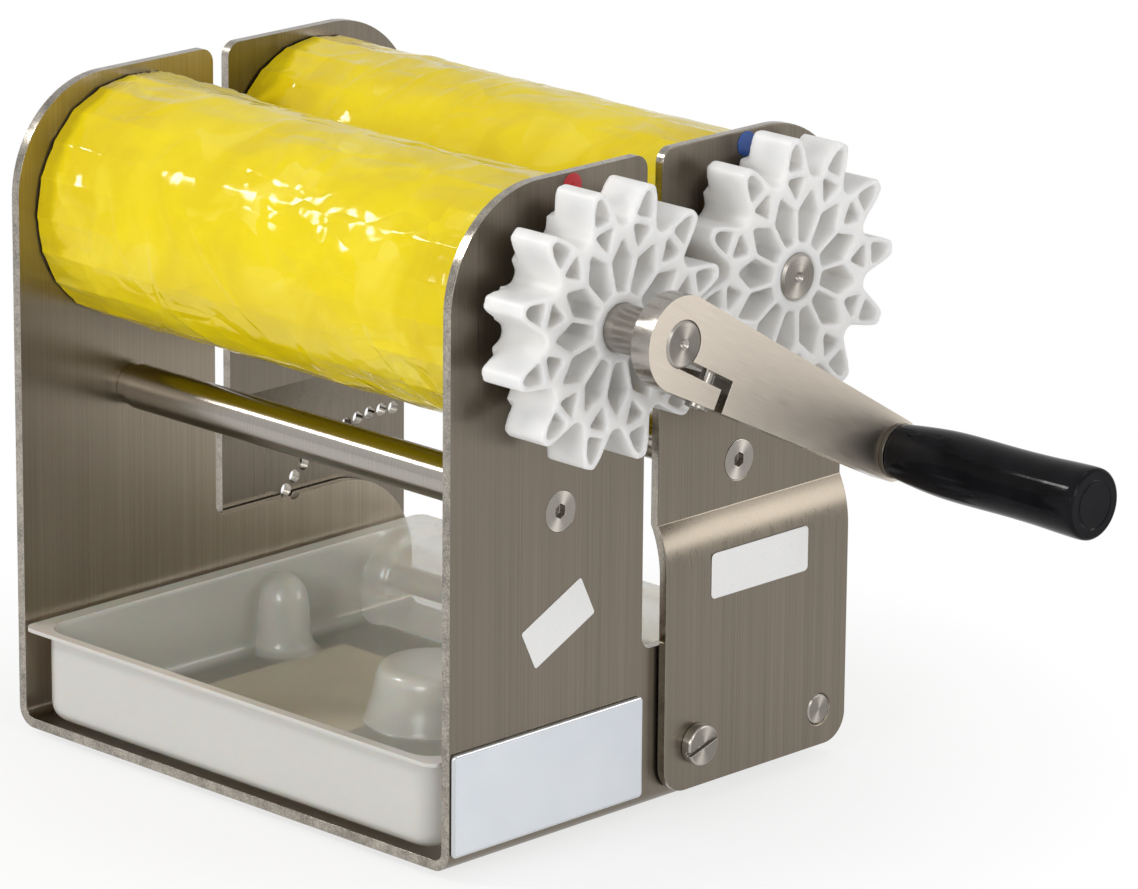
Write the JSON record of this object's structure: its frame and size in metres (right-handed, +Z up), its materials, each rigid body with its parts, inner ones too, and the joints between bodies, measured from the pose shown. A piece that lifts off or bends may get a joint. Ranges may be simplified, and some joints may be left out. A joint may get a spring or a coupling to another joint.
{
  "type": "crank meat tenderizer machine",
  "caption": "Hand-cranked meat press: two geared rollers in a steel plate frame, over a clear tray, with a lever that sets the gap between the rollers.",
  "frame": {"origin": "on the table, under the middle of the base, in the plane of the rubber feet", "axes": "+X along the rollers towards the gears and crank, +Y from the open tray side to the rear plates, +Z up"},
  "size_m": [0.4333, 0.216, 0.2605],
  "materials": {
    "brushed_plate": "brushed stainless sheet, grain upright, bright rounded edges",
    "turned_steel": "turned stainless bar",
    "fastener_steel": "machined stainless fasteners",
    "arm_steel": "light brushed steel, grain along the arm",
    "spring_steel": "dark spring steel",
    "gear_plastic": "milky white moulded plastic",
    "bush_plastic": "off white plain bearing plastic",
    "roller_plastic": "cream coloured food grade plastic",
    "yellow_film": "glossy yellow protective film",
    "black_grip": "polished black plastic",
    "tray_clear": "frosted see-through moulded plastic",
    "foot_rubber": "black rubber",
    "dot_red": "red adhesive dot",
    "dot_blue": "blue adhesive dot",
    "plate_foil": "pale domed plate with a silver rim, blank",
    "label_white": "blank white label",
    "sticker_paper": "blank paper sticker"
  },
  "bodies": {
    "frame": {"front_frame": "brushed_plate", "rubber_feet": "foot_rubber", "front_tie_rod": "turned_steel", "front_tie_screws": "fastener_steel", "front_bushes": "bush_plastic", "pivot_screws": "turned_steel", "pivot_nuts": "fastener_steel", "pivot_washers": "bush_plastic", "red_dot": "dot_red", "name_plate": "plate_foil", "slant_label": "label_white", "base_sticker": "sticker_paper"},
    "rear_frame": {"rear_plate_left": "brushed_plate", "rear_plate_right": "brushed_plate", "rear_tie_rod": "turned_steel", "rear_tie_screws": "fastener_steel", "rear_bushes": "bush_plastic", "blue_dot": "dot_blue", "rear_label": "label_white"},
    "front_roller": {"front_roller": "roller_plastic", "front_shaft": "turned_steel", "front_roller_hubs": "roller_plastic", "front_roller_pins": "fastener_steel", "front_film": "yellow_film", "front_retaining_ring": "spring_steel", "front_gear_spacer": "gear_plastic", "front_gear": "gear_plastic", "front_gear_pin": "fastener_steel", "crank_arm": "arm_steel", "crank_clamp_screw": "fastener_steel", "grip_bolt": "fastener_steel", "grip_washer": "turned_steel"},
    "rear_roller": {"rear_roller": "roller_plastic", "rear_shaft": "turned_steel", "rear_roller_hubs": "roller_plastic", "rear_roller_pins": "fastener_steel", "rear_film": "yellow_film", "rear_retaining_ring": "spring_steel", "rear_gear_spacer": "gear_plastic", "rear_gear": "gear_plastic", "rear_gear_pin": "fastener_steel"},
    "grip": {"grip": "black_grip", "grip_cap": "black_grip"},
    "gap_lever": {"hinge_axle": "turned_steel", "gap_lever": "brushed_plate", "lever_screw": "fastener_steel", "lever_washer": "fastener_steel", "index_bush": "turned_steel"},
    "index_pin": {"index_pin": "turned_steel", "index_knob": "black_grip"},
    "tray": {"tray": "tray_clear"}
  },
  "joints": [
    {"name": "crank_turn", "type": "hinge", "parent": "frame", "child": "front_roller", "pos_m": [0, -0.049, 0.2075], "axis": [1, 0, 0], "continuous": true},
    {"name": "rear_frame_tilt", "type": "hinge", "parent": "frame", "child": "rear_frame", "pos_m": [0, 0.021, 0.0256], "axis": [-1, 0, 0], "range_deg": [-0.67, 1.01]},
    {"name": "rear_roller_turn", "type": "hinge", "parent": "rear_frame", "child": "rear_roller", "pos_m": [0, 0.049, 0.2075], "axis": [1, 0, 0], "continuous": true},
    {"name": "grip_spin", "type": "hinge", "parent": "front_roller", "child": "grip", "pos_m": [0, 0.06777, 0.14383], "axis": [1, 0, 0], "continuous": true},
    {"name": "gap_lever_turn", "type": "hinge", "parent": "rear_frame", "child": "gap_lever", "pos_m": [0, 0.09, 0.0228], "axis": [-1, 0, 0], "range_deg": [-22.41, 33.61]},
    {"name": "index_pin_push", "type": "slide", "parent": "gap_lever", "child": "index_pin", "axis": [1, 0, 0], "range_m": [0, 0.004]},
    {"name": "tray_slide", "type": "slide", "parent": "frame", "child": "tray", "axis": [0, -1, 0], "range_m": [0, 0.2]}
  ],
  "couplings": [
    {"joint": "rear_roller_turn", "follows": "crank_turn", "ratio": -1},
    {"joint": "gap_lever_turn", "follows": "rear_frame_tilt", "ratio": 33.3}
  ]
}
